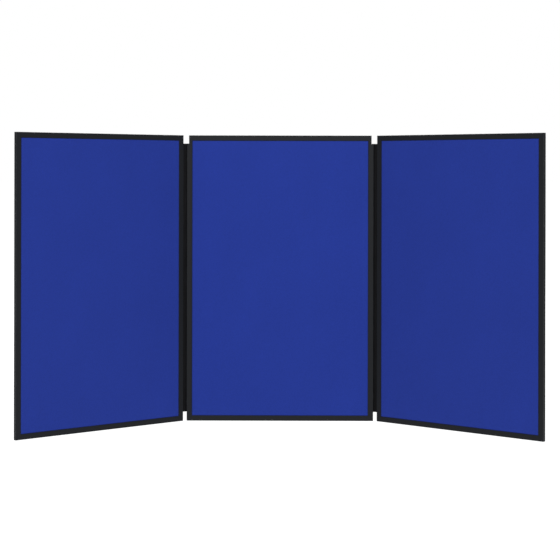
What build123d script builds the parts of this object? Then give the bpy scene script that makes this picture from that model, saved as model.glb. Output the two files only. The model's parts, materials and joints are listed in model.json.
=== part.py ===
from build123d import *
import math
import os

# A free-standing folding display screen: three framed fabric panels joined by two flexible hinge strips.
# Row frame: +X to the viewer's right, +Y to the back, +Z up. The origin is on the floor, in the middle of
# the footprint. Each panel has its own axes: X across it, Y through it to the back, Z up.

# ---- driving dimensions, in millimetres and degrees ----
PANEL_WIDTH = 588.0
PANEL_HEIGHT = 900.0
WING_ANGLE = 38.0  # how far each wing is swung forward from the centre panel's plane

BAR_FACE = 16.0  # width of a frame bar, seen from the front
BAR_DEPTH = 13.0  # thickness of a frame bar, and so of a panel
BAR_WALL = 1.2  # front and back walls of the extrusion
BAR_WEB = 1.0  # cross walls of the extrusion
OUTER_RADIUS = 1.0  # the bar's outside corners
LIP_RADIUS = 0.5  # the edges of the two lips beside the fabric

SLOT_MOUTH = 2.0  # opening of the T-slot that runs round the panel's edge
SLOT_LIP = 1.4
SLOT_DEPTH = 6.2  # from the panel's edge to the floor of the T-slot
KEY_CHAMBER = 2.0
BOARD_CHANNEL = 5.8  # depth of the channel that takes the board

CORE_THICKNESS = 6.6
SKIN_THICKNESS = 1.0
FABRIC_THICKNESS = 0.95
BOARD_CLEARANCE = 0.4  # between the board's edge and the floor of its channel

KEY_ARM = 34.0
KEY_THICKNESS = 1.8
KEY_WIDTH = 10.2
KEY_DIMPLE_RADIUS = 2.0
KEY_DIMPLE_FROM_END = 10.0

STRIP_BOTTOM = 28.0  # lowest point of a hinge strip
STRIP_TOP = 874.0
STRIP_THICKNESS = 1.2
STRIP_SPAN = 13.6  # between a strip's two bending lines; a folded wing needs more than a panel's thickness
STRIP_OFFSET = 1.0  # from a bending line to the edge of its panel
STRIP_STUB_GAP = 0.2  # between the round end of the web and the stub that enters the slot
STRIP_HEAD_THICKNESS = 4.0
STRIP_HEAD_WIDTH = 9.6

NOTCH_HEIGHT = 28.0  # slot lips cut away at the centre panel's top corners, to feed a strip in

SCREW_RADIUS = 1.1
SCREW_HEAD_RADIUS = 2.1
SCREW_LENGTH = 6.4
SCREW_TIP = 1.2
SCREW_HOLE_RADIUS = 1.25  # through the bar's wall
SCREW_SINK_ANGLE = 90.0
SCREW_SETBACK = 0.1  # how far the head lies below the back face
SCREW_FROM_STRIP_END = 40.0
SINK_CLEARANCE = 0.05
RECESS_LENGTH = 2.4
RECESS_WIDTH = 0.5
RECESS_DEPTH = 0.7

# ---- sizes that follow from them ----
KEY_CHAMBER_START = SLOT_DEPTH + BAR_WEB
CHANNEL_FLOOR = BAR_FACE - BOARD_CHANNEL
INNER_WIDTH = BAR_DEPTH - 2 * BAR_WALL
BOARD_EDGE = CHANNEL_FLOOR + BOARD_CLEARANCE
BOARD_WIDTH = PANEL_WIDTH - 2 * BOARD_EDGE
BOARD_HEIGHT = PANEL_HEIGHT - 2 * BOARD_EDGE
STRIP_HEIGHT = STRIP_TOP - STRIP_BOTTOM
STUB_END = STRIP_OFFSET - STRIP_THICKNESS / 2 - STRIP_STUB_GAP
SCREW_HEIGHTS = (STRIP_BOTTOM + SCREW_FROM_STRIP_END, STRIP_TOP - SCREW_FROM_STRIP_END)
SCREW_FROM_EDGE = SLOT_LIP + STRIP_HEAD_THICKNESS / 2
SINK_RADIUS = SCREW_HEAD_RADIUS + SCREW_SETBACK + SINK_CLEARANCE
MIDDLE = PANEL_WIDTH / 2


# ---- where the panels and the strips stand ----
def heading(angle):
    """Unit vector in the floor plane, turned by angle from +X."""
    return Vector(math.cos(math.radians(angle)), math.sin(math.radians(angle)), 0)


def strip_end(angle):
    """From a strip's bending line at the centre panel to its bending line at a wing swung by angle."""
    return heading(angle / 2) * STRIP_SPAN


def wing_reach(angle):
    """From the middle of the centre panel to the middle of the right-hand wing."""
    return Vector(MIDDLE + STRIP_OFFSET, 0, 0) + strip_end(angle) + heading(angle) * (STRIP_OFFSET + MIDDLE)


wing_tip = wing_reach(-WING_ANGLE) + heading(-WING_ANGLE) * MIDDLE
front_reach = -wing_tip.Y + BAR_DEPTH / 2 * math.cos(math.radians(WING_ANGLE))
CENTRE_Y = (front_reach - BAR_DEPTH / 2) / 2  # puts the origin in the middle of the footprint

right_middle = wing_reach(-WING_ANGLE)
centre_axes = Plane(origin=(0, CENTRE_Y, 0))
right_axes = Plane(origin=(right_middle.X, CENTRE_Y + right_middle.Y, 0), x_dir=heading(-WING_ANGLE))
left_axes = Plane(origin=(-right_middle.X, CENTRE_Y + right_middle.Y, 0), x_dir=heading(WING_ANGLE))

ACROSS = Vector(1, 0, 0)
BACKWARDS = Vector(0, 1, 0)
UPWARDS = Vector(0, 0, 1)


def on_panel(axes, position, x_direction, normal):
    """A plane at a position in a panel's axes, with its X and its normal along two panel directions."""
    origin = axes.from_local_coords(position)
    across = axes.from_local_coords(x_direction) - axes.origin
    outwards = axes.from_local_coords(normal) - axes.origin
    return Plane(origin=origin, x_dir=across, z_dir=outwards)


def write(part, name):
    """Labels a finished piece and writes its file."""
    part.label = name
    export_step(part, f"parts/{name}.step")


# ---- frame bars ----
def bar_profile(plane):
    """Cross-section of a frame bar on a plane whose X runs inwards from the panel's edge."""
    from_edge = (Align.MIN, Align.CENTER)
    with BuildSketch(plane) as profile:
        Rectangle(BAR_FACE, BAR_DEPTH, align=from_edge)
        fillet(profile.vertices().group_by(Axis.X)[0], OUTER_RADIUS)
        fillet(profile.vertices().group_by(Axis.X)[-1], LIP_RADIUS)
        Rectangle(SLOT_LIP, SLOT_MOUTH, align=from_edge, mode=Mode.SUBTRACT)
        with Locations((SLOT_LIP, 0)):
            Rectangle(SLOT_DEPTH - SLOT_LIP, INNER_WIDTH, align=from_edge, mode=Mode.SUBTRACT)
        with Locations((KEY_CHAMBER_START, 0)):
            Rectangle(KEY_CHAMBER, INNER_WIDTH, align=from_edge, mode=Mode.SUBTRACT)
        with Locations((CHANNEL_FLOOR, 0)):
            Rectangle(BOARD_CHANNEL, INNER_WIDTH, align=from_edge, mode=Mode.SUBTRACT)
    return profile.sketch


def screw_places(axes, side):
    """Planes on the back face over the strip's head at one side of a panel, side being -1 or 1."""
    x = side * (MIDDLE - SCREW_FROM_EDGE)
    return [on_panel(axes, (x, BAR_DEPTH / 2, z), ACROSS, BACKWARDS) for z in SCREW_HEIGHTS]


def notch_places(axes, sides):
    """Planes at the top corners where the slot's lips are cut away, one for each side."""
    return [on_panel(axes, (side * MIDDLE, 0, PANEL_HEIGHT), ACROSS, UPWARDS) for side in sides]


def frame_bar(name, axes, start, along, inwards, length, screws=(), notches=()):
    """One mitred bar from a corner of the panel, with any screw holes and feed notches cut in it."""
    section = bar_profile(on_panel(axes, start, inwards, along))
    far_corner = start + along * length
    near_mitre = on_panel(axes, start, BACKWARDS, along - inwards)
    far_mitre = on_panel(axes, far_corner, BACKWARDS, -along - inwards)
    with BuildPart() as bar:
        extrude(section, amount=length)
        split(bisect_by=near_mitre, keep=Keep.TOP)
        split(bisect_by=far_mitre, keep=Keep.TOP)
        if screws:
            with Locations(*screws):
                CounterSinkHole(SCREW_HOLE_RADIUS, SINK_RADIUS, 2 * BAR_WALL, SCREW_SINK_ANGLE)
        if notches:
            with Locations(*notches):
                Box(2 * SLOT_DEPTH, 2 * BAR_DEPTH, 2 * NOTCH_HEIGHT, mode=Mode.SUBTRACT)
    write(bar.part, name)


def panel_frame(panel, axes, left_name, right_name, hinge_sides, notch_sides=()):
    """The four bars of a panel. The hinge sides take screws, and the notch sides lose their top corner."""
    bottom_left = Vector(-MIDDLE, 0, 0)
    bottom_right = Vector(MIDDLE, 0, 0)
    top_left = Vector(-MIDDLE, 0, PANEL_HEIGHT)
    notches = notch_places(axes, notch_sides)
    left_screws = screw_places(axes, -1) if -1 in hinge_sides else ()
    right_screws = screw_places(axes, 1) if 1 in hinge_sides else ()
    frame_bar(f"{panel}_bottom_rail", axes, bottom_left, ACROSS, UPWARDS, PANEL_WIDTH)
    frame_bar(f"{panel}_top_rail", axes, top_left, ACROSS, -UPWARDS, PANEL_WIDTH, notches=notches)
    frame_bar(
        f"{panel}_{left_name}", axes, bottom_left, UPWARDS, ACROSS, PANEL_HEIGHT, left_screws, notches
    )
    frame_bar(
        f"{panel}_{right_name}", axes, bottom_right, UPWARDS, -ACROSS, PANEL_HEIGHT, right_screws, notches
    )


# ---- board and fabric ----
def board_layer(name, axes, thickness, nearest_y):
    """A full-size layer of the board, from nearest_y towards the back."""
    face = on_panel(axes, (0, nearest_y, PANEL_HEIGHT / 2), ACROSS, BACKWARDS)
    with BuildPart() as layer:
        with BuildSketch(face):
            Rectangle(BOARD_WIDTH, BOARD_HEIGHT)
        extrude(amount=thickness)
    write(layer.part, name)


def panel_board(panel, axes):
    """Core, two skins and two fabric faces, from the front to the back."""
    layers = (
        ("front_fabric", FABRIC_THICKNESS),
        ("front_skin", SKIN_THICKNESS),
        ("core_board", CORE_THICKNESS),
        ("back_skin", SKIN_THICKNESS),
        ("back_fabric", FABRIC_THICKNESS),
    )
    y = -sum(thickness for _, thickness in layers) / 2
    for layer_name, thickness in layers:
        board_layer(f"{panel}_{layer_name}", axes, thickness, y)
        y += thickness


# ---- corner keys ----
def corner_keys(panel, axes):
    """Four flat angles in the key chamber, each arm pierced where the bar's wall is dimpled into it."""
    inset = KEY_CHAMBER_START + (KEY_CHAMBER - KEY_THICKNESS) / 2
    dimple = KEY_ARM - KEY_DIMPLE_FROM_END
    middle_plane = on_panel(axes, (0, 0, PANEL_HEIGHT / 2), ACROSS, -BACKWARDS)
    with BuildPart() as keys:
        with BuildSketch(middle_plane):
            for side_x in (-1, 1):
                for side_z in (-1, 1):
                    x = side_x * (MIDDLE - inset)
                    z = side_z * (PANEL_HEIGHT / 2 - inset)
                    with BuildLine():
                        Polyline(
                            (x, z),
                            (x - side_x * KEY_ARM, z),
                            (x - side_x * KEY_ARM, z - side_z * KEY_THICKNESS),
                            (x - side_x * KEY_THICKNESS, z - side_z * KEY_THICKNESS),
                            (x - side_x * KEY_THICKNESS, z - side_z * KEY_ARM),
                            (x, z - side_z * KEY_ARM),
                            close=True,
                        )
                    make_face()
        extrude(amount=KEY_WIDTH / 2, both=True)
        for side_x in (-1, 1):
            for side_z in (-1, 1):
                x = side_x * (MIDDLE - inset)
                z = PANEL_HEIGHT / 2 + side_z * (PANEL_HEIGHT / 2 - inset)
                flat = on_panel(axes, (x - side_x * dimple, 0, z), ACROSS, UPWARDS * side_z)
                upright = on_panel(axes, (x, 0, z - side_z * dimple), BACKWARDS, ACROSS * side_x)
                with Locations(flat, upright):
                    Hole(KEY_DIMPLE_RADIUS, 2 * KEY_THICKNESS)
    write(keys.part, f"{panel}_corner_keys")


# ---- hinge strips ----
def strip_edge(name, axes, side):
    """The T-shaped edge of a strip in the slot at one side of a panel, with its screw holes."""
    base = on_panel(axes, (side * MIDDLE, 0, STRIP_BOTTOM), -ACROSS * side, UPWARDS)
    from_edge = (Align.MIN, Align.CENTER)
    with BuildPart() as edge:
        with BuildSketch(base):
            with Locations((-STUB_END, 0)):
                Rectangle(STUB_END + SLOT_LIP, STRIP_THICKNESS, align=from_edge)
            with Locations((SLOT_LIP, 0)):
                Rectangle(STRIP_HEAD_THICKNESS, STRIP_HEAD_WIDTH, align=from_edge)
        extrude(amount=STRIP_HEIGHT)
        with Locations(*screw_places(axes, side)):
            Hole(SCREW_RADIUS, SCREW_LENGTH + SCREW_SETBACK)
    write(edge.part, name)


def strip_web(name, side, angle):
    """The free part of a strip, with a round end on each bending line."""
    start = Vector(side * (MIDDLE + STRIP_OFFSET), CENTRE_Y, STRIP_BOTTOM)
    end = start + strip_end(angle) * side
    base = Plane(origin=(start + end) / 2, x_dir=heading(angle / 2))
    with BuildPart() as web:
        with BuildSketch(base):
            SlotCenterToCenter(STRIP_SPAN, STRIP_THICKNESS)
        extrude(amount=STRIP_HEIGHT)
    write(web.part, name)


def lock_screws(name, places):
    """Countersunk screws from the back face into the head of a strip."""
    with BuildPart() as screws:
        for place in places:
            face = place.offset(-SCREW_SETBACK)
            half_plane = Plane(origin=face.origin, x_dir=face.x_dir, z_dir=face.y_dir)
            head_depth = SCREW_HEAD_RADIUS - SCREW_RADIUS
            with BuildSketch(half_plane):
                with BuildLine():
                    Polyline(
                        (0, 0),
                        (SCREW_HEAD_RADIUS, 0),
                        (SCREW_RADIUS, head_depth),
                        (SCREW_RADIUS, SCREW_LENGTH - SCREW_TIP),
                        (0, SCREW_LENGTH),
                        close=True,
                    )
                make_face()
            revolve(axis=Axis(face.origin, face.z_dir))
            with BuildSketch(face):
                Rectangle(RECESS_LENGTH, RECESS_WIDTH)
                Rectangle(RECESS_WIDTH, RECESS_LENGTH)
            extrude(amount=-RECESS_DEPTH, mode=Mode.SUBTRACT)
    write(screws.part, name)


# ---- the whole screen ----
os.makedirs("parts", exist_ok=True)

both_sides = (-1, 1)
panel_frame("left_wing", left_axes, "outer_stile", "hinge_stile", hinge_sides=(1,))
panel_frame("centre_panel", centre_axes, "left_stile", "right_stile", both_sides, notch_sides=both_sides)
panel_frame("right_wing", right_axes, "hinge_stile", "outer_stile", hinge_sides=(-1,))

for panel_name, panel_axes in (
    ("left_wing", left_axes),
    ("centre_panel", centre_axes),
    ("right_wing", right_axes),
):
    panel_board(panel_name, panel_axes)
    corner_keys(panel_name, panel_axes)

strip_edge("left_strip_centre_edge", centre_axes, -1)
strip_edge("left_strip_wing_edge", left_axes, 1)
strip_web("left_strip_web", -1, WING_ANGLE)
strip_edge("right_strip_centre_edge", centre_axes, 1)
strip_edge("right_strip_wing_edge", right_axes, -1)
strip_web("right_strip_web", 1, -WING_ANGLE)

lock_screws("left_wing_lock_screws", screw_places(left_axes, 1))
lock_screws("centre_panel_lock_screws", screw_places(centre_axes, -1) + screw_places(centre_axes, 1))
lock_screws("right_wing_lock_screws", screw_places(right_axes, -1))
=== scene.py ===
"""A free-standing folding display screen: three fabric panels in black frames, joined by two hinge strips.

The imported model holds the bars, boards, corner keys and screws, and they keep their shapes here. The fabric
faces and the hinge strips are made new. Lengths are in metres, apart from the camera's lens and sensor, and
angles are in radians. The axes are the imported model's own: +X to the viewer's right, +Y to the back, +Z up.
"""

import json
import logging
import math
from abc import ABC, abstractmethod
from dataclasses import dataclass, field
from enum import Enum
from typing import Any

import bpy
import numpy as np
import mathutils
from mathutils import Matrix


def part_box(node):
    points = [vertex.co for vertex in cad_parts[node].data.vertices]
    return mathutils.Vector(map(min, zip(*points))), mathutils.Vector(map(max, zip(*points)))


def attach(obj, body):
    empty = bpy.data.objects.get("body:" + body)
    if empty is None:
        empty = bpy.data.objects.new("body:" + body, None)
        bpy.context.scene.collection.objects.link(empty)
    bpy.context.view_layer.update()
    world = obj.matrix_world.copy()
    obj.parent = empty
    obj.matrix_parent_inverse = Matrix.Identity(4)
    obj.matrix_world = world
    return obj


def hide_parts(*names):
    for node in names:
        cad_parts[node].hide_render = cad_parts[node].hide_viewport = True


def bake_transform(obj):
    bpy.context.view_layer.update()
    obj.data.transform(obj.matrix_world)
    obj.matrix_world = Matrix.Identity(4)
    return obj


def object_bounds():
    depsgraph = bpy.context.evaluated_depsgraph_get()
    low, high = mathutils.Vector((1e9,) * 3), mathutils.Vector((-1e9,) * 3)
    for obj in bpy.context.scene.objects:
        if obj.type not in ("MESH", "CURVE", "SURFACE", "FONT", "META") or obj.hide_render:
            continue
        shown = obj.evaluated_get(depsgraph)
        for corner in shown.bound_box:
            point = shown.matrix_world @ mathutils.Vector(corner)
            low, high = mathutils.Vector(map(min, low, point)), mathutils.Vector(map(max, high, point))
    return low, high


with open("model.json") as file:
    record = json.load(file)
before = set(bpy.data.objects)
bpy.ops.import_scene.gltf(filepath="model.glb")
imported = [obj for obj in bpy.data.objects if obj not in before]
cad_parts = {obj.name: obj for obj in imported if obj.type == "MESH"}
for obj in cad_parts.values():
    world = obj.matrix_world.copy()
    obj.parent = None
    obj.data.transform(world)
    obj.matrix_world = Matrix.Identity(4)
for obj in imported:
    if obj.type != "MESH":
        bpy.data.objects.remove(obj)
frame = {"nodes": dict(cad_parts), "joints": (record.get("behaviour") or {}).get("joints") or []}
cad_low, cad_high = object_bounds()

log = logging.getLogger("screen")

Colour = tuple[float, float, float]
Vector = tuple[float, float, float]
MM = 0.001
MIDDLE = 0.5  # the middle of a pattern that runs from 0 to 1


# ---- named choices ----
class Side(Enum):
    """The two ends of the centre panel, by the sign of their X."""

    LEFT = -1
    RIGHT = 1


class Face(Enum):
    """The two faces of a panel, by the sign of their distance through it."""

    FRONT = -1
    BACK = 1


# ---- shader maths ----
class Value:
    """A node's number output. Arithmetic on it adds Math nodes."""

    def __init__(self, graph: "Graph", socket: bpy.types.NodeSocket) -> None:
        """Wraps one output.

        Args:
            graph: The node tree that the output belongs to.
            socket: The output itself.
        """
        self.graph = graph
        self.socket = socket

    def __add__(self, other: "Value | float") -> "Value":
        """Sum."""
        return self.graph.maths("ADD", self, other)

    def __radd__(self, other: float) -> "Value":
        """Sum with the number first."""
        return self.graph.maths("ADD", other, self)

    def __sub__(self, other: "Value | float") -> "Value":
        """Difference."""
        return self.graph.maths("SUBTRACT", self, other)

    def __rsub__(self, other: float) -> "Value":
        """Difference with the number first."""
        return self.graph.maths("SUBTRACT", other, self)

    def __mul__(self, other: "Value | float") -> "Value":
        """Product."""
        return self.graph.maths("MULTIPLY", self, other)

    def __rmul__(self, other: float) -> "Value":
        """Product with the number first."""
        return self.graph.maths("MULTIPLY", other, self)

    def __abs__(self) -> "Value":
        """Size without its sign."""
        return self.graph.maths("ABSOLUTE", self)

    def at_most(self, other: "Value | float") -> "Value":
        """The smaller of the two."""
        return self.graph.maths("MINIMUM", self, other)

    def below(self, other: "Value | float") -> "Value":
        """One where this value is below the other, and zero elsewhere."""
        return self.graph.maths("LESS_THAN", self, other)

    def ramp(self, start: float, end: float) -> "Value":
        """A smooth step from 0 at start to 1 at end, or the other way round if start is the larger.

        Args:
            start: The value where the step begins.
            end: The value where it is complete.

        Returns:
            The step, between 0 and 1.
        """
        settings = {"interpolation_type": "SMOOTHSTEP"}
        low, high = min(start, end), max(start, end)
        step = self.graph.number("ShaderNodeMapRange", settings, {0: self, 1: low, 2: high, 3: 0.0, 4: 1.0})
        return step if start < end else 1 - step


class Graph:
    """The node tree of one material or of the world, and the few ways in which nodes are added to it."""

    def __init__(self, tree: bpy.types.NodeTree) -> None:
        """Empties a node tree, ready for new nodes.

        Args:
            tree: The tree to fill.
        """
        self.tree = tree
        tree.nodes.clear()

    def add(
        self, kind: str, settings: dict[str, Any] | None = None, values: dict[int | str, Any] | None = None
    ) -> bpy.types.Node:
        """Adds one node.

        Args:
            kind: The node's type, such as ShaderNodeTexNoise.
            settings: Its properties, set first.
            values: A number, a tuple, a Value or an output for each input, by index or by name.

        Returns:
            The new node.
        """
        node = self.tree.nodes.new(kind)
        for key, value in (settings or {}).items():
            setattr(node, key, value)
        for key, value in (values or {}).items():
            source = value.socket if isinstance(value, Value) else value
            if isinstance(source, bpy.types.NodeSocket):
                self.tree.links.new(source, node.inputs[key])
            else:
                node.inputs[key].default_value = source
        return node

    def number(
        self, kind: str, settings: dict[str, Any] | None = None, values: dict[int | str, Any] | None = None
    ) -> Value:
        """Adds a node and wraps its first output.

        Args:
            kind: The node's type.
            settings: Its properties.
            values: What its inputs take.

        Returns:
            The first output, ready for arithmetic.
        """
        return Value(self, self.add(kind, settings, values).outputs[0])

    def maths(self, operation: str, *terms: Value | float) -> Value:
        """Adds a Math node.

        Args:
            operation: The node's operation.
            terms: One or two numbers or outputs.

        Returns:
            The result.
        """
        return self.number("ShaderNodeMath", {"operation": operation}, dict(enumerate(terms)))

    def mix(self, share: Value | float, first: Any, second: Any) -> bpy.types.NodeSocket:
        """Mixes two colours.

        Args:
            share: How much of the second colour shows, from 0 to 1.
            first: A colour or a colour output.
            second: The other one.

        Returns:
            The mixed colour's output.
        """
        colours = [(*c, 1.0) if isinstance(c, tuple) else c for c in (first, second)]
        values = {0: share, 6: colours[0], 7: colours[1]}
        return self.add("ShaderNodeMix", {"data_type": "RGBA"}, values).outputs[2]

    def repeats(self, place: bpy.types.NodeSocket, size: Vector) -> bpy.types.NodeSocket:
        """Counts a position in repeats of a pattern.

        Args:
            place: The position.
            size: The pattern's size along each axis, in metres. An endless one flattens that axis.

        Returns:
            The count's output.
        """
        values = {0: place, 1: tuple(1 / length for length in size)}
        return self.add("ShaderNodeVectorMath", {"operation": "MULTIPLY"}, values).outputs[0]

    def noise(self, place: bpy.types.NodeSocket, size: Vector, detail: float = 2.0) -> Value:
        """Cloudy noise about 0.5.

        Args:
            place: The position.
            size: A cloud's size along each axis, in metres.
            detail: How many finer layers are added.

        Returns:
            The noise, between 0 and 1.
        """
        values = {"Vector": self.repeats(place, size), "Scale": 1.0, "Detail": detail}
        return self.number("ShaderNodeTexNoise", None, values)

    def cells(self, place: bpy.types.NodeSocket, size: Vector) -> Value:
        """Distance to the nearest of many scattered points.

        Args:
            place: The position.
            size: The spacing of the points along each axis, in metres.

        Returns:
            The distance: 0 at a point, and near 1 between points.
        """
        values = {"Vector": self.repeats(place, size), "Scale": 1.0}
        return self.number("ShaderNodeTexVoronoi", {"feature": "F1"}, values)

    def relief(self, height: Value, depth: float, strength: float = 1.0) -> bpy.types.NodeSocket:
        """Turns a height into a surface normal.

        Args:
            height: The height, from 0 to 1.
            depth: What a height of 1 stands for, in metres.
            strength: How much of it shows.

        Returns:
            The normal's output.
        """
        values = {"Strength": strength, "Distance": depth, "Height": height}
        return self.add("ShaderNodeBump", None, values).outputs[0]


# ---- where a panel stands ----
@dataclass(frozen=True)
class Place:
    """A panel's own axes: the middle of its foot, and how far it is turned about the vertical."""

    x: float
    y: float
    turn: float

    def heading(self) -> np.ndarray:
        """Unit vector across the panel, in the floor plane."""
        return np.array([math.cos(self.turn), math.sin(self.turn)])

    def to_model(self, across: np.ndarray, through: np.ndarray, up: np.ndarray) -> np.ndarray:
        """Carries points from the panel's axes to the model's frame.

        The point is the foot's middle, plus across times the heading, plus through times the backward vector.

        Args:
            across: Distances across the panel.
            through: Distances through it, to the back.
            up: Heights.

        Returns:
            An array with X, Y and Z along its last axis.
        """
        across, through, up = np.broadcast_arrays(across, through, up)
        x = self.x + across * math.cos(self.turn) - through * math.sin(self.turn)
        y = self.y + across * math.sin(self.turn) + through * math.cos(self.turn)
        return np.stack([x, y, up], axis=-1)

    def local(self, graph: Graph) -> bpy.types.NodeSocket:
        """Adds the nodes that give a position in the panel's own axes.

        Args:
            graph: The material's node tree.

        Returns:
            The position's output.
        """
        position = graph.add("ShaderNodeTexCoord").outputs["Object"]
        values = {"Vector": position, "Location": (self.x, self.y, 0.0), "Rotation": (0.0, 0.0, self.turn)}
        return graph.add("ShaderNodeMapping", {"vector_type": "TEXTURE"}, values).outputs[0]


# ---- finishes ----
class Finish(ABC):
    """A surface that can be put on a piece."""

    slot: str

    @abstractmethod
    def surface(self, graph: Graph, local: bpy.types.NodeSocket) -> dict[str, Any]:
        """Adds the finish's own nodes.

        Args:
            graph: The material's node tree.
            local: The position in the panel's own axes.

        Returns:
            What each of the surface shader's inputs takes.
        """

    def material(self, name: str, place: Place) -> bpy.types.Material:
        """Makes the material, with its pattern lined up with a panel.

        Args:
            name: The material's name.
            place: The panel whose axes the pattern follows.

        Returns:
            The material.
        """
        material = bpy.data.materials.new(name)
        material.use_nodes = True
        graph = Graph(material.node_tree)
        shader = graph.add("ShaderNodeBsdfPrincipled", None, self.surface(graph, place.local(graph)))
        graph.add("ShaderNodeOutputMaterial", None, {"Surface": shader.outputs[0]})
        return material


@dataclass(frozen=True)
class LoopFabric(Finish):
    """Brushed loop-nylon cloth: small tufts, a lay that drifts over a hand's width, and a soft sheen.

    The first three fields are the opening between the bars: half its width, half its height and its middle.
    """

    half_opening: float
    half_height: float
    middle_height: float
    slot: str = "loop_fabric"
    # painted shade: the first colour below is the shaded pile between the loops, the second a loop's top
    shade: Colour = (0.0068, 0.0180, 0.1455)
    tip: Colour = (0.0109, 0.0282, 0.2230)
    # painted shade: the colour and two widths below darken the cloth beside each lip, for the lip's shadow
    lip_shade: Colour = (0.0035, 0.0070, 0.0380)
    lip_shade_width: float = 2.4 * MM
    lip_shade_core: float = 0.25
    loop: Vector = (1.1 * MM, 1.1 * MM, 1.375 * MM)
    tuft: Vector = (4.5 * MM, 4.5 * MM, 6.4286 * MM)
    lay: Vector = (130 * MM, 130 * MM, 216.667 * MM)
    loop_light: float = 0.55
    tuft_light: float = 0.35
    lay_light: float = 0.22
    loop_height: float = 0.7
    tuft_height: float = 0.5
    relief_depth: float = 0.28 * MM
    relief_strength: float = 0.55
    roughness: float = 0.92
    loop_smoothness: float = 0.12
    specular: float = 0.12
    sheen: Colour = (0.80, 0.88, 1.0)
    sheen_weight: float = 0.035
    sheen_roughness: float = 0.55

    def surface(self, graph: Graph, local: bpy.types.NodeSocket) -> dict[str, Any]:
        """Makes the cloth.

        The colour runs from the painted shade between the loops to the tip of a loop, by the loop's height
        plus a little of the tufts and of the lay. Beside each lip it darkens further with painted shade, the
        shadow that the lip casts on the recessed cloth. The relief is the loops' and the tufts' height.

        Args:
            graph: The material's node tree.
            local: The position in the panel's own axes.

        Returns:
            What the shader's inputs take.
        """
        loops = 1 - graph.cells(local, self.loop)
        tufts = graph.noise(local, self.tuft, 3.0)
        lay = graph.noise(local, self.lay, 2.0)
        parts = ((loops, self.loop_light), (tufts, self.tuft_light), (lay, self.lay_light))
        light = sum((share * (part - MIDDLE) for part, share in parts), MIDDLE)
        height = self.loop_height * loops + self.tuft_height * tufts
        split = graph.add("ShaderNodeSeparateXYZ", None, {0: local})
        across, up = Value(graph, split.outputs[0]), Value(graph, split.outputs[2])
        from_lip = (self.half_opening - abs(across)).at_most(self.half_height - abs(up - self.middle_height))
        # painted shade beside each lip: darkest at the lip, fading to none a few millimetres out
        lip_shade = from_lip.ramp(self.lip_shade_width, self.lip_shade_core * self.lip_shade_width)
        pile = graph.mix(light.ramp(0.0, 1.0), self.shade, self.tip)
        return {
            "Base Color": graph.mix(lip_shade, pile, self.lip_shade),
            "Roughness": self.roughness - self.loop_smoothness * loops,
            "Normal": graph.relief(height, self.relief_depth, self.relief_strength),
            "Specular IOR Level": self.specular,
            "Sheen Weight": self.sheen_weight,
            "Sheen Roughness": self.sheen_roughness,
            "Sheen Tint": (*self.sheen, 1.0),
        }


@dataclass(frozen=True)
class SatinBlack(Finish):
    """Black satin coat on an extruded bar: die lines along it, a fine peel, and wear on its edges.

    The first four fields are the panel's half width, height and half depth, and the width of a bar's face.
    """

    half_width: float
    height: float
    half_depth: float
    face: float
    slot: str = "frame_black"
    coat: Colour = (0.0052, 0.0060, 0.0075)
    worn: Colour = (0.035, 0.036, 0.039)
    seam: Colour = (0.0015, 0.0015, 0.002)
    outer_round: float = 1.0 * MM
    lip_round: float = 0.5 * MM
    round_core: float = 0.65
    seam_width: float = 0.22 * MM
    seam_core: float = 0.3
    patch: Vector = (9 * MM, 9 * MM, 14 * MM)
    patch_span: tuple[float, float] = (0.45, 0.72)
    scuff: Vector = (30 * MM, 30 * MM, 50 * MM)
    peel: Vector = (0.5 * MM, 0.5 * MM, 0.5 * MM)
    die_line: float = 0.8 * MM
    die_length: float = 0.35
    lip_wear: float = 0.5
    least_wear: float = 0.06
    patch_wear: float = 0.45
    roughness: float = 0.44
    scuff_roughness: float = 0.08
    line_roughness: float = 0.06
    seam_roughness: float = 0.3
    peel_height: float = 0.5
    line_height: float = 0.5
    seam_height: float = -0.8
    relief_depth: float = 0.03 * MM
    specular: float = 0.15

    def surface(self, graph: Graph, local: bpy.types.NodeSocket) -> dict[str, Any]:
        """Makes the coat.

        On a bar, the distance from the panel's edge and from its face add up to less than the edge's radius
        only on the rounded edge, and that is where the wear shows. At a mitre the distances from the panel's
        side and from its end are the same, which draws the hairline seam.

        Args:
            graph: The material's node tree.
            local: The position in the panel's own axes.

        Returns:
            What the shader's inputs take.
        """
        split = graph.add("ShaderNodeSeparateXYZ", None, {0: local})
        across, through, up = (Value(graph, output) for output in split.outputs)
        from_side = self.half_width - abs(across)
        from_end = up.at_most(self.height - up)
        from_edge = from_side.at_most(from_end)
        from_face = self.half_depth - abs(through)
        upright = from_side.below(from_end)
        seam = abs(from_side - from_end).ramp(self.seam_width, self.seam_core * self.seam_width)
        outer = (from_edge + from_face).ramp(self.outer_round, self.round_core * self.outer_round)
        from_lip = abs(from_edge - self.face) + from_face
        lip = from_lip.ramp(self.lip_round, self.round_core * self.lip_round)
        patches = graph.noise(local, self.patch, 5.0).ramp(*self.patch_span)
        wear = (outer + self.lip_wear * lip) * (self.least_wear + self.patch_wear * patches)
        fine, coarse = self.die_line, self.die_length
        upright_lines = graph.noise(local, (fine, fine, coarse), 2.0)
        level_lines = graph.noise(local, (coarse, fine, fine), 2.0)
        lines = upright * upright_lines + (1 - upright) * level_lines
        peel = graph.noise(local, self.peel, 2.0)
        scuffs = graph.noise(local, self.scuff, 4.0)
        roughness = self.roughness + self.scuff_roughness * scuffs + self.line_roughness * lines
        height = self.peel_height * peel + self.line_height * lines + self.seam_height * seam
        coated = graph.mix(wear, self.coat, self.worn)
        return {
            "Base Color": graph.mix(seam, coated, self.seam),
            "Roughness": roughness + self.seam_roughness * seam,
            "Normal": graph.relief(height, self.relief_depth),
            "Specular IOR Level": self.specular,
        }


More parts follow.
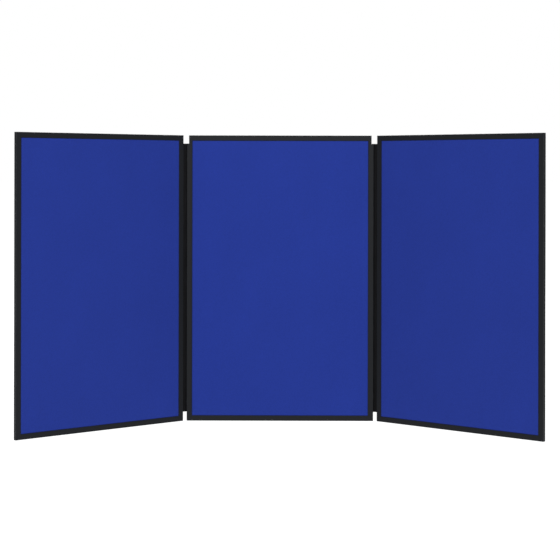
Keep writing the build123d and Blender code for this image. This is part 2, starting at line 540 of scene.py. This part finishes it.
@dataclass(frozen=True)
class HingeVinyl(Finish):
    """Soft black vinyl, drawn lengthwise, with a fine leathery grain and a slight bloom."""

    slot: str = "hinge_strip"
    base: Colour = (0.0009, 0.0009, 0.0013)
    bloom: Colour = (0.0030, 0.0030, 0.0040)
    grain: Vector = (0.7 * MM, 0.7 * MM, 1.0 * MM)
    drawn: Vector = (0.35 * MM, 0.35 * MM, 0.16667)
    cloud: Vector = (12 * MM, 12 * MM, 60 * MM)
    cloud_span: tuple[float, float] = (0.4, 0.75)
    cloud_bloom: float = 0.6
    drawn_bloom: float = 0.2
    roughness: float = 0.40
    cloud_roughness: float = 0.18
    grain_roughness: float = 0.08
    grain_height: float = 0.5
    drawn_height: float = 0.5
    relief_depth: float = 0.04 * MM
    relief_strength: float = 0.6
    specular: float = 0.09

    def surface(self, graph: Graph, local: bpy.types.NodeSocket) -> dict[str, Any]:
        """Makes the vinyl.

        Args:
            graph: The material's node tree.
            local: The position in the panel's own axes.

        Returns:
            What the shader's inputs take.
        """
        grain = graph.cells(local, self.grain)
        drawn = graph.noise(local, self.drawn, 2.0)
        clouds = graph.noise(local, self.cloud, 4.0)
        bloom = self.cloud_bloom * clouds.ramp(*self.cloud_span) + self.drawn_bloom * drawn
        height = self.grain_height * grain + self.drawn_height * drawn
        return {
            "Base Color": graph.mix(bloom, self.base, self.bloom),
            "Roughness": self.roughness + self.cloud_roughness * clouds + self.grain_roughness * grain,
            "Normal": graph.relief(height, self.relief_depth, self.relief_strength),
            "Specular IOR Level": self.specular,
        }


@dataclass(frozen=True)
class LinerBoard(Finish):
    """Brown liner paper under the fabric: long fibres over a mottled ground."""

    slot: str = "skin_board"
    base: Colour = (0.34, 0.245, 0.15)
    fibre: Colour = (0.52, 0.41, 0.28)
    fibre_size: Vector = (6 * MM, 0.5 * MM, 0.5 * MM)
    mottle_size: Vector = (25 * MM, 25 * MM, 25 * MM)
    fibre_share: float = 0.6
    mottle_share: float = 0.4
    share_span: tuple[float, float] = (0.35, 0.7)
    roughness: float = 0.80
    fibre_roughness: float = 0.15
    relief_depth: float = 0.05 * MM
    specular: float = 0.2

    def surface(self, graph: Graph, local: bpy.types.NodeSocket) -> dict[str, Any]:
        """Makes the paper.

        Args:
            graph: The material's node tree.
            local: The position in the panel's own axes.

        Returns:
            What the shader's inputs take.
        """
        fibres = graph.noise(local, self.fibre_size, 4.0)
        mottle = graph.noise(local, self.mottle_size, 3.0)
        share = (self.fibre_share * fibres + self.mottle_share * mottle).ramp(*self.share_span)
        return {
            "Base Color": graph.mix(share, self.base, self.fibre),
            "Roughness": self.roughness + self.fibre_roughness * fibres,
            "Normal": graph.relief(fibres, self.relief_depth),
            "Specular IOR Level": self.specular,
        }


@dataclass(frozen=True)
class HoneycombPaper(Finish):
    """Paper honeycomb core: cell walls that show as darker lines across its faces."""

    slot: str = "honeycomb_core"
    base: Colour = (0.45, 0.335, 0.205)
    wall: Colour = (0.27, 0.19, 0.11)
    cell: float = 14 * MM
    unevenness: float = 0.25
    wall_span: tuple[float, float] = (0.06, 0.02)
    pulp_size: Vector = (2 * MM, 2 * MM, 2 * MM)
    wall_colour_share: float = 0.75
    wall_height: float = 0.6
    roughness: float = 0.82
    pulp_roughness: float = 0.12
    relief_depth: float = 0.12 * MM
    specular: float = 0.2

    def surface(self, graph: Graph, local: bpy.types.NodeSocket) -> dict[str, Any]:
        """Makes the core's paper.

        A wall is where the distances to the two nearest cell middles are almost the same.

        Args:
            graph: The material's node tree.
            local: The position in the panel's own axes.

        Returns:
            What the shader's inputs take.
        """
        flat = graph.repeats(local, (self.cell, math.inf, self.cell))
        values = {"Vector": flat, "Scale": 1.0, "Randomness": self.unevenness}
        edge = graph.number("ShaderNodeTexVoronoi", {"feature": "DISTANCE_TO_EDGE"}, values)
        walls = edge.ramp(*self.wall_span)
        pulp = graph.noise(local, self.pulp_size, 4.0)
        share = self.wall_colour_share * walls + (1 - self.wall_colour_share) * pulp
        height = self.wall_height * walls + (1 - self.wall_height) * pulp
        return {
            "Base Color": graph.mix(share, self.base, self.wall),
            "Roughness": self.roughness + self.pulp_roughness * pulp,
            "Normal": graph.relief(height, self.relief_depth),
            "Specular IOR Level": self.specular,
        }


@dataclass(frozen=True)
class StampedMetal(Finish):
    """Bare stamped metal: rolling lines, fine scratches, and a duller film in patches."""

    slot: str
    base: Colour
    film: Colour
    metallic: float
    roughness: float
    line: Vector = (0.35 * MM, 0.35 * MM, 14 * MM)
    film_size: Vector = (4 * MM, 4 * MM, 4 * MM)
    film_span: tuple[float, float] = (0.4, 0.7)
    film_share: float = 0.5
    line_share: float = 0.3
    film_dulling: float = 0.25
    film_roughness: float = 0.18
    line_roughness: float = 0.1
    relief_depth: float = 0.02 * MM
    specular: float = 0.5

    def surface(self, graph: Graph, local: bpy.types.NodeSocket) -> dict[str, Any]:
        """Makes the metal.

        Args:
            graph: The material's node tree.
            local: The position in the panel's own axes.

        Returns:
            What the shader's inputs take.
        """
        rolled = graph.noise(local, self.line, 3.0)
        film = graph.noise(local, self.film_size, 5.0).ramp(*self.film_span)
        share = self.film_share * film + self.line_share * rolled
        return {
            "Base Color": graph.mix(share, self.base, self.film),
            "Metallic": self.metallic - self.film_dulling * film,
            "Roughness": self.roughness + self.film_roughness * film + self.line_roughness * rolled,
            "Normal": graph.relief(rolled, self.relief_depth),
            "Specular IOR Level": self.specular,
        }


CORNER_METAL = StampedMetal("corner_key_metal", (0.62, 0.63, 0.65), (0.38, 0.385, 0.40), 1.0, 0.30)
SCREW_METAL = StampedMetal("screw_steel", (0.055, 0.055, 0.060), (0.14, 0.135, 0.13), 0.95, 0.32)


# ---- meshes ----
def add_mesh(
    name: str, points: np.ndarray, faces: list[Any], material: bpy.types.Material
) -> bpy.types.Object:
    """Puts a finished mesh in the scene.

    Args:
        name: The object's name.
        points: Its points, one a row.
        faces: Lists of point numbers, counter-clockwise seen from outside.
        material: What it is made of.

    Returns:
        The new object, at the origin.
    """
    mesh = bpy.data.meshes.new(name)
    mesh.from_pydata(points.reshape(-1, 3).tolist(), [], faces)
    mesh.materials.append(material)
    mesh.update()
    piece = bpy.data.objects.new(name, mesh)
    bpy.context.scene.collection.objects.link(piece)
    return piece


def grid_faces(rows: int, columns: int, start: int = 0, wrap: bool = False) -> np.ndarray:
    """Numbers the corners of a grid's squares.

    The square at row i and column j has the corners (i, j), (i, j+1), (i+1, j+1) and (i+1, j).

    Args:
        rows: Points along the first direction.
        columns: Points along the second.
        start: The number of the grid's first point.
        wrap: Whether the last column joins the first.

    Returns:
        Four point numbers for each square.
    """
    i = np.arange(rows - 1)[:, None]
    j = np.arange(columns if wrap else columns - 1)[None, :]
    after = (j + 1) % columns
    this, above = i * columns, (i + 1) * columns
    corners = np.stack([this + j, this + after, above + after, above + j], -1)
    return corners.reshape(-1, 4) + start


def shade_smooth(piece: bpy.types.Object, angle: float) -> None:
    """Shades a piece smooth, apart from edges sharper than an angle.

    Args:
        piece: The piece.
        angle: The sharpest turn that still looks round.
    """
    mesh = piece.data
    mesh.polygons.foreach_set("use_smooth", np.ones(len(mesh.polygons), dtype=bool))
    mesh.set_sharp_from_angle(angle=angle)


# ---- fabric ----
@dataclass(frozen=True)
class Wave:
    """A sine along one direction, whose phase sways as a sine along the other. Both count radians a metre."""

    rate: float
    sway_rate: float
    sway: float

    def height(self, along: np.ndarray, aside: np.ndarray) -> np.ndarray:
        """The wave's height, between -1 and 1.

        Args:
            along: Distances along the wave.
            aside: Distances in the other direction.

        Returns:
            The heights.
        """
        return np.sin(along * self.rate + self.sway * np.sin(aside * self.sway_rate))


@dataclass(frozen=True)
class FabricFace:
    """One cut of cloth, glued to the board and held flat under the bars' lips."""

    panel: str
    place: Place
    face: Face
    bottom: float
    top: float
    half_width: float
    inner: float
    outer: float
    lip: float
    finish: LoopFabric
    rise: float = 0.25 * MM
    spring: float = 7.0 * MM
    ripple: float = 0.05 * MM
    wave: Wave = Wave(41.0, 17.0, 1.3)
    crossed_wave: Wave = Wave(33.0, 23.0, 1.1)
    fine_steps: int = 14
    fine_reach: float = 1.2
    broad_step: float = 14 * MM
    crease: float = math.radians(50)

    def stations(self, length: float) -> np.ndarray:
        """Grid lines across the cloth: close together near its two edges and wide apart between them.

        Args:
            length: The cloth's length along this direction.

        Returns:
            Distances from the first edge.
        """
        edge = np.linspace(0, self.lip + self.fine_reach * self.spring, self.fine_steps)
        count = int((length - 2 * edge[-1]) / self.broad_step)
        middle = np.linspace(edge[-1], length - edge[-1], count + 1)[1:-1]
        return np.concatenate([edge, middle, length - edge[::-1]])

    def crown(self, across: np.ndarray, up: np.ndarray) -> np.ndarray:
        """Height of the pile above the cloth's flat edge.

        It is nothing under the lips, rises as a smooth step over the spring width, and carries two crossed
        waves of a few hundredths of a millimetre, as glued cloth does.

        Args:
            across: Distances from the cloth's left edge.
            up: Distances from its lower edge.

        Returns:
            The heights.
        """
        width, height = 2 * self.half_width, self.top - self.bottom
        edge_x = np.minimum(across, width - across)
        edge_z = np.minimum(up, height - up)
        steps = [np.clip((edge - self.lip) / self.spring, 0, 1) for edge in (edge_x, edge_z)]
        rise_x, rise_z = (step * step * (3 - 2 * step) for step in steps)
        waves = self.wave.height(across, up) + self.crossed_wave.height(up, across)
        return rise_x * rise_z * (self.rise + self.ripple * waves)

    def build(self) -> bpy.types.Object:
        """Makes the cloth as a closed sheet: a crowned outer face, a flat inner face and the cut edge.

        Returns:
            The finished piece, riding on its panel.
        """
        from_left = self.stations(2 * self.half_width)
        from_foot = self.stations(self.top - self.bottom)
        across, up = np.meshgrid(from_left, from_foot)
        sign = self.face.value
        outer = self.outer + self.crown(across, up)
        outside = self.place.to_model(across - self.half_width, sign * outer, up + self.bottom)
        inside = self.place.to_model(across - self.half_width, sign * self.inner, up + self.bottom)
        rows, columns = across.shape
        count = rows * columns
        front = grid_faces(rows, columns)
        back = grid_faces(rows, columns, count)[:, ::-1]
        numbers = np.arange(count).reshape(rows, columns)
        rim = np.concatenate([numbers[0, :-1], numbers[:-1, -1], numbers[-1, :0:-1], numbers[:0:-1, 0]])
        ahead = np.roll(rim, -1)
        edge = np.stack([ahead, rim, rim + count, ahead + count], -1)
        faces = np.concatenate([front, back, edge])
        if self.face is Face.BACK:
            faces = faces[:, ::-1]
        name = f"{self.panel}_{self.face.name.lower()}_cloth"
        points = np.concatenate([outside.reshape(-1, 3), inside.reshape(-1, 3)])
        material = self.finish.material(f"{name}_loop", self.place)
        piece = add_mesh(name, points, faces.tolist(), material)
        shade_smooth(piece, self.crease)
        return piece


# ---- a framed panel ----
@dataclass
class Panel:
    """Four mitred bars round a covered board, with the keys and screws that hold it together."""

    name: str
    place: Place
    fabric: LoopFabric
    coat: SatinBlack

    def finish_of(self, node: str) -> Finish:
        """Chooses the finish of one of the panel's own pieces, by its name.

        Args:
            node: The piece's name.

        Returns:
            Its finish.
        """
        endings = {
            "_skin": LinerBoard(),
            "_core_board": HoneycombPaper(),
            "_corner_keys": CORNER_METAL,
            "_lock_screws": SCREW_METAL,
        }
        chosen = [finish for ending, finish in endings.items() if node.endswith(ending)]
        return chosen[0] if chosen else self.coat

    def dress(self) -> None:
        """Gives the panel's bars, board layers, keys and screws their materials."""
        made: dict[str, bpy.types.Material] = {}
        for node, piece in frame["nodes"].items():
            if not node.startswith(f"{self.name}_") or node.endswith("_fabric"):
                continue
            finish = self.finish_of(node)
            if finish.slot not in made:
                made[finish.slot] = finish.material(f"{self.name}_{finish.slot}", self.place)
            for slot in piece.material_slots:
                slot.material = made[finish.slot]
            log.info("%s dressed as %s", node, finish.slot)

    def cover(self) -> None:
        """Makes the two cloth faces, hangs each on its panel, and hides the imported fabric it replaces.

        The panels are alike, and the centre one stands square to the frame, so its boxes size them all.
        """
        low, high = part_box("centre_panel_front_fabric")
        bar_low, bar_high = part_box("centre_panel_bottom_rail")
        middle = (low.y + high.y) / 2 - (bar_low.y + bar_high.y) / 2
        half_thickness = (high.y - low.y) / 2
        for face in Face:
            cloth = FabricFace(
                panel=self.name,
                place=self.place,
                face=face,
                bottom=low.z,
                top=high.z,
                half_width=(high.x - low.x) / 2,
                inner=abs(middle) - half_thickness,
                outer=abs(middle) + half_thickness,
                lip=bar_high.z - low.z,
                finish=self.fabric,
            )
            piece = cloth.build()
            side = face.name.lower()
            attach(piece, self.name)
            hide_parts(f"{self.name}_{side}_fabric")


# ---- hinge strips ----
@dataclass(frozen=True)
class StripHalf:
    """Half of a hinge strip: the head held in a panel's slot, the neck, and the web out to its middle."""

    name: str
    place: Place
    panel_edge: np.ndarray
    outward: np.ndarray
    bend: np.ndarray
    middle: np.ndarray
    bottom: float
    top: float
    finish: HingeVinyl
    slot_lip: float = 1.4 * MM
    head_depth: float = 4.0 * MM
    head_half_width: float = 4.8 * MM
    head_round: float = 0.5 * MM
    half_thickness: float = 0.6 * MM
    fold_half_thickness: float = 0.47 * MM
    fold_reach: float = 0.9 * MM
    rib: float = 0.11 * MM
    rib_pitch: float = 1.7 * MM
    fold_points: int = 13
    web_points: int = 41
    corner_points: int = 5
    levels: int = 3
    crease: float = math.radians(35)

    def web_line(self) -> tuple[np.ndarray, np.ndarray, np.ndarray]:
        """The centreline from the slot to the web's middle, its normals, and its distance past the fold.

        It runs straight to just before the bending line, turns through a quadratic curve whose control point
        is the bending line itself, and runs straight to the middle.

        Returns:
            Points, unit normals, and signed distances from the bending line.
        """
        web = self.middle - self.bend
        reach = np.linalg.norm(web)
        web = web / reach
        start = self.panel_edge - self.slot_lip * self.outward
        before = self.bend - self.fold_reach * self.outward
        after = self.bend + self.fold_reach * web
        t = np.linspace(0, 1, self.fold_points)[:, None]
        turn = (1 - t) ** 2 * before + 2 * t * (1 - t) * self.bend + t**2 * after
        straight = np.linspace(0, 1, self.web_points)[1:, None]
        points = np.concatenate([start[None, :], turn, after + straight * (self.middle - after)])
        slopes = np.gradient(points, axis=0)
        slopes[0] = self.outward
        slopes[-1] = web
        slopes /= np.linalg.norm(slopes, axis=1, keepdims=True)
        normals = np.stack([-slopes[:, 1], slopes[:, 0]], axis=1)
        steps = np.linalg.norm(np.diff(points, axis=0), axis=1)
        along = np.concatenate([[0.0], np.cumsum(steps)])
        return points, normals, along - (self.slot_lip + np.linalg.norm(self.bend - self.panel_edge))

    def outline(self) -> np.ndarray:
        """The strip's cross-section as a closed outline.

        Each side of the web lies half the thickness from the centreline. The thickness narrows at the bending
        line by a bell curve. Shallow ribs, the positive part of a cosine, begin two fold reaches beyond the
        line and have their full height after three.

        Returns:
            Outline points in the floor plane, counter-clockwise.
        """
        points, normals, past = self.web_line()
        bell = np.exp(-((past / self.fold_reach) ** 2))
        half = self.half_thickness - (self.half_thickness - self.fold_half_thickness) * bell
        last = past[-1]
        ribbed = np.clip((past - 2 * self.fold_reach) / self.fold_reach, 0, 1)
        ribs = np.clip(np.cos((past - last) * 2 * math.pi / self.rib_pitch), 0, 1) * self.rib * ribbed
        half = (half + ribs)[:, None]
        upper, lower = points + half * normals, points - half * normals
        across = np.array([-self.outward[1], self.outward[0]])
        root = points[0]
        quarter = np.linspace(0, math.pi / 2, self.corner_points)[:, None]
        depth, width, r = self.head_depth, self.head_half_width, self.head_round

        def corner(inwards: float, aside: float, first: float) -> np.ndarray:
            """Draws a rounded corner of the head, as a quarter circle.

            Args:
                inwards: How far the circle's middle lies into the slot.
                aside: How far it lies from the strip's middle plane.
                first: The angle where the quarter begins.

            Returns:
                Points along the quarter circle.
            """
            middle = root - inwards * self.outward + aside * across
            return middle + r * (np.cos(first + quarter) * self.outward + np.sin(first + quarter) * across)

        head = [
            corner(r, width - r, 0.0),
            corner(depth - r, width - r, math.pi / 2),
            corner(depth - r, r - width, math.pi),
            corner(r, r - width, 1.5 * math.pi),
        ]
        loop = np.concatenate([lower, upper[::-1], *head])
        area = np.sum(loop[:, 0] * np.roll(loop[:, 1], -1) - loop[:, 1] * np.roll(loop[:, 0], -1))
        return loop if area > 0 else loop[::-1]

    def build(self) -> bpy.types.Object:
        """Draws the outline up through the strip's height and closes both ends.

        Returns:
            The new piece.
        """
        loop = self.outline()
        count = len(loop)
        heights = np.linspace(self.bottom, self.top, self.levels)
        flat = np.broadcast_to(loop, (self.levels, count, 2))
        height = np.broadcast_to(heights[:, None, None], (self.levels, count, 1))
        points = np.concatenate([flat, height], axis=2)
        sides = grid_faces(self.levels, count, wrap=True).tolist()
        under = list(range(count - 1, -1, -1))
        over = list(range((self.levels - 1) * count, self.levels * count))
        material = self.finish.material(self.name, self.place)
        piece = add_mesh(self.name, points, sides + [under, over], material)
        shade_smooth(piece, self.crease)
        return piece


@dataclass
class HingeStrip:
    """One flexible strip between the centre panel and a wing, made as two halves that meet in mid-web."""

    side: Side
    centre: Place
    wing: Place
    centre_bend: np.ndarray
    wing_bend: np.ndarray
    half_panel: float
    finish: HingeVinyl = field(default_factory=HingeVinyl)
    blend_reach: float = 1.2 * MM

    def panel_side(self, place: Place, sign: int) -> tuple[np.ndarray, np.ndarray]:
        """Where the strip leaves a panel.

        Args:
            place: The panel.
            sign: Which of its sides, -1 for its left and 1 for its right.

        Returns:
            The middle of the panel's edge, and the outward unit vector there.
        """
        outward = sign * place.heading()
        return np.array([place.x, place.y]) + self.half_panel * outward, outward

    def make(self) -> None:
        """Makes both halves in place and hides the imported strip pieces that they replace."""
        name = self.side.name.lower()
        sign = self.side.value
        low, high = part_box(f"{name}_strip_web")
        middle = (self.centre_bend + self.wing_bend) / 2
        edge_of = {
            "centre": (self.centre, sign, self.centre_bend, ("centre_panel", f"{name}_strip")),
            "wing": (self.wing, -sign, self.wing_bend, (f"{name}_strip", f"{name}_wing")),
        }
        nodes = {
            "centre": (f"{name}_strip_centre_edge", f"{name}_strip_web"),
            "wing": (f"{name}_strip_wing_edge",),
        }
        for end, (place, panel_sign, bend, bodies) in edge_of.items():
            edge, outward = self.panel_side(place, panel_sign)
            half = StripHalf(
                name=f"{name}_hinge_{end}_half",
                place=place,
                panel_edge=edge,
                outward=outward,
                bend=bend,
                middle=middle,
                bottom=low.z,
                top=high.z,
                finish=self.finish,
            )
            piece = half.build()
            along = outward + (middle - bend) / np.linalg.norm(middle - bend)
            along = self.blend_reach * along / np.linalg.norm(along)
            near, far = (*(bend - along), low.z), (*(bend + along), low.z)
            start, stop = (near, far) if bodies[0] == "centre_panel" else (far, near)
            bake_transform(piece)
            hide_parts(*nodes[end])
            log.info("%s made, %d points, between %s and %s", piece.name, len(piece.data.vertices), *bodies)


# ---- studio ----
@dataclass(frozen=True)
class PaleFloor(Finish):
    """Matt pale studio floor with a very faint mottle. It glows a little, so that it reads as white."""

    base: Colour = (0.20, 0.20, 0.20)
    mottle: Colour = (0.18, 0.18, 0.183)
    cloud: Vector = (0.66667, 0.66667, 0.66667)
    roughness: float = 0.95
    glow: float = 0.97

    def surface(self, graph: Graph, local: bpy.types.NodeSocket) -> dict[str, Any]:
        """Makes the floor's paint.

        Args:
            graph: The material's node tree.
            local: The position in the floor's axes.

        Returns:
            What the shader's inputs take.
        """
        return {
            "Base Color": graph.mix(graph.noise(local, self.cloud, 3.0), self.base, self.mottle),
            "Roughness": self.roughness,
            "Specular IOR Level": 0.0,
            "Emission Color": (1.0, 1.0, 1.0, 1.0),
            "Emission Strength": self.glow,
        }


@dataclass(frozen=True)
class Softbox:
    """A rectangle of soft light that faces a point of the screen."""

    name: str
    x: float
    y: float
    z: float
    width: float
    height: float
    power: float

    def place(self, target: Vector) -> None:
        """Adds the lamp.

        Args:
            target: The point that it faces.
        """
        lamp = bpy.data.lights.new(self.name, "AREA")
        lamp.shape = "RECTANGLE"
        lamp.size = self.width
        lamp.size_y = self.height
        lamp.energy = self.power
        holder = bpy.data.objects.new(self.name, lamp)
        bpy.context.scene.collection.objects.link(holder)
        away = np.array([self.x, self.y, self.z]) - np.array(target)
        level = math.hypot(away[0], away[1])
        holder.location = (self.x, self.y, self.z)
        tilt, heading = math.atan2(level, away[2]), math.atan2(away[1], away[0])
        holder.rotation_euler = (tilt, 0.0, heading + math.pi / 2)


@dataclass(frozen=True)
class Studio:
    """The floor, the light and the camera, whose lens and sensor are in millimetres."""

    floor_radius: float = 150.0
    first_ring: float = 0.5
    rings: int = 8
    spokes: int = 96
    floor_drop: float = 0.3 * MM
    dome: float = 0.18
    backdrop: float = 1.0
    camera_x: float = 0.0173
    camera_y: float = -4.5975
    camera_z: float = 0.7759
    camera_yaw: float = math.radians(0.218)
    camera_roll: float = math.radians(-0.108)
    focal_length: float = 97.31
    sensor: float = 36.0
    shift_up: float = -0.1878
    softboxes: tuple[Softbox, ...] = (
        Softbox("key_softbox", 0.3, -9.5, 7.8, 3.4, 3.4, 1690.0),
        Softbox("left_softbox", -5.2, -1.5, 1.9, 1.6, 0.9, 14.0),
        Softbox("right_softbox", 5.2, -1.5, 1.9, 1.6, 0.9, 14.0),
        Softbox("back_softbox", 0.0, 5.5, 4.2, 2.0, 2.0, 300.0),
    )

    def lay_floor(self) -> None:
        """Makes the floor as rings of points about the origin, each ring larger than the last by a factor."""
        rings, spokes = self.rings, self.spokes
        radii = np.geomspace(self.first_ring, self.floor_radius, rings)[:, None]
        angles = np.linspace(0, 2 * math.pi, spokes, endpoint=False)
        x = radii * np.cos(angles)
        y = radii * np.sin(angles)
        ring_points = np.stack([x, y, np.full_like(x, -self.floor_drop)], axis=-1).reshape(-1, 3)
        points = np.concatenate([ring_points, [[0.0, 0.0, -self.floor_drop]]])
        hub = len(points) - 1
        spoke = np.arange(spokes)
        fan = np.stack([np.full(spokes, hub), spoke, (spoke + 1) % spokes], -1).tolist()
        faces = grid_faces(rings, spokes, wrap=True)[:, ::-1].tolist()
        paint = PaleFloor().material("studio_floor", Place(0.0, 0.0, 0.0))
        floor = add_mesh("studio_floor", points, faces + fan, paint)
        log.info("%s laid", floor.name)

    def light(self) -> None:
        """Sets an even dome of light, which shows as a white backdrop, and hangs the softboxes."""
        world = bpy.data.worlds.new("studio_dome")
        world.use_nodes = True
        bpy.context.scene.world = world
        graph = Graph(world.node_tree)
        seen = graph.number("ShaderNodeLightPath")
        strength = self.dome + (self.backdrop - self.dome) * seen
        sky = graph.add("ShaderNodeBackground", None, {"Color": (1.0, 1.0, 1.0, 1.0), "Strength": strength})
        graph.add("ShaderNodeOutputWorld", None, {"Surface": sky.outputs[0]})
        target = (0.0, 0.0, (cad_low.z + cad_high.z) / 2)
        for softbox in self.softboxes:
            softbox.place(target)
            log.info("%s hung", softbox.name)

    def set_camera(self) -> None:
        """Stands the camera level, a little below the tops of the panels, with its lens shifted down."""
        lens = bpy.data.cameras.new("camera")
        lens.lens = self.focal_length
        lens.sensor_width = self.sensor
        lens.shift_y = self.shift_up
        camera = bpy.data.objects.new("camera", lens)
        bpy.context.scene.collection.objects.link(camera)
        camera.location = (self.camera_x, self.camera_y, self.camera_z)
        camera.rotation_euler = (math.pi / 2, self.camera_roll, self.camera_yaw)
        bpy.context.scene.camera = camera
        log.info("camera set, %.0f mm lens", self.focal_length)

    def set_view(self) -> None:
        """Keeps colours as they are lit, with no film curve."""
        settings = bpy.context.scene.view_settings
        settings.view_transform = "Standard"
        settings.look = "None"
        settings.exposure = 0.0
        settings.gamma = 1.0


# ---- the screen ----
def flat_point(joint: str) -> np.ndarray:
    """Where a hinge's axis crosses the floor plane.

    Args:
        joint: The joint's name.

    Returns:
        Its X and Y.
    """
    found = next(j for j in frame["joints"] if j["name"] == joint)
    return np.array(found["pos_m"][:2])


def wing_place(centre: Place, side: Side, half_panel: float) -> Place:
    """Works out where a wing stands from its two bending lines.

    The strip shares the fold equally, so the wing is turned by twice the strip's own turn. The wing's middle
    lies half a panel, and the gap from an edge to its bending line, beyond the outer bending line.

    Args:
        centre: The centre panel's place.
        side: Which wing.
        half_panel: Half of a panel's width.

    Returns:
        The wing's place.
    """
    name = side.name.lower()
    inner, outer = flat_point(f"{name}_strip_bend"), flat_point(f"{name}_wing_fold")
    strip = side.value * (outer - inner)
    turn = 2 * math.atan2(strip[1], strip[0])
    gap = abs(inner[0] - centre.x) - half_panel
    reach = side.value * (half_panel + gap)
    return Place(outer[0] + reach * math.cos(turn), outer[1] + reach * math.sin(turn), turn)


def main() -> None:
    """Builds the screen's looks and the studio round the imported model."""
    logging.basicConfig(level=logging.INFO, format="%(name)s: %(message)s")
    low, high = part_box("centre_panel_bottom_rail")
    half_panel = (high.x - low.x) / 2
    centre = Place((low.x + high.x) / 2, (low.y + high.y) / 2, 0.0)
    face = high.z - low.z
    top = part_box("centre_panel_top_rail")[1].z
    coat = SatinBlack(half_width=half_panel, height=top, half_depth=(high.y - low.y) / 2, face=face)
    cloth = LoopFabric(half_opening=half_panel - face, half_height=top / 2 - face, middle_height=top / 2)
    wings = {side: wing_place(centre, side, half_panel) for side in Side}
    panels = [
        Panel("centre_panel", centre, cloth, coat),
        Panel("left_wing", wings[Side.LEFT], cloth, coat),
        Panel("right_wing", wings[Side.RIGHT], cloth, coat),
    ]
    for panel in panels:
        panel.dress()
        panel.cover()
    for side in Side:
        bends = [flat_point(f"{side.name.lower()}_{joint}") for joint in ("strip_bend", "wing_fold")]
        HingeStrip(side, centre, wings[side], bends[0], bends[1], half_panel).make()
    studio = Studio()
    studio.lay_floor()
    studio.light()
    studio.set_camera()
    studio.set_view()


if __name__ == "__main__":
    main()
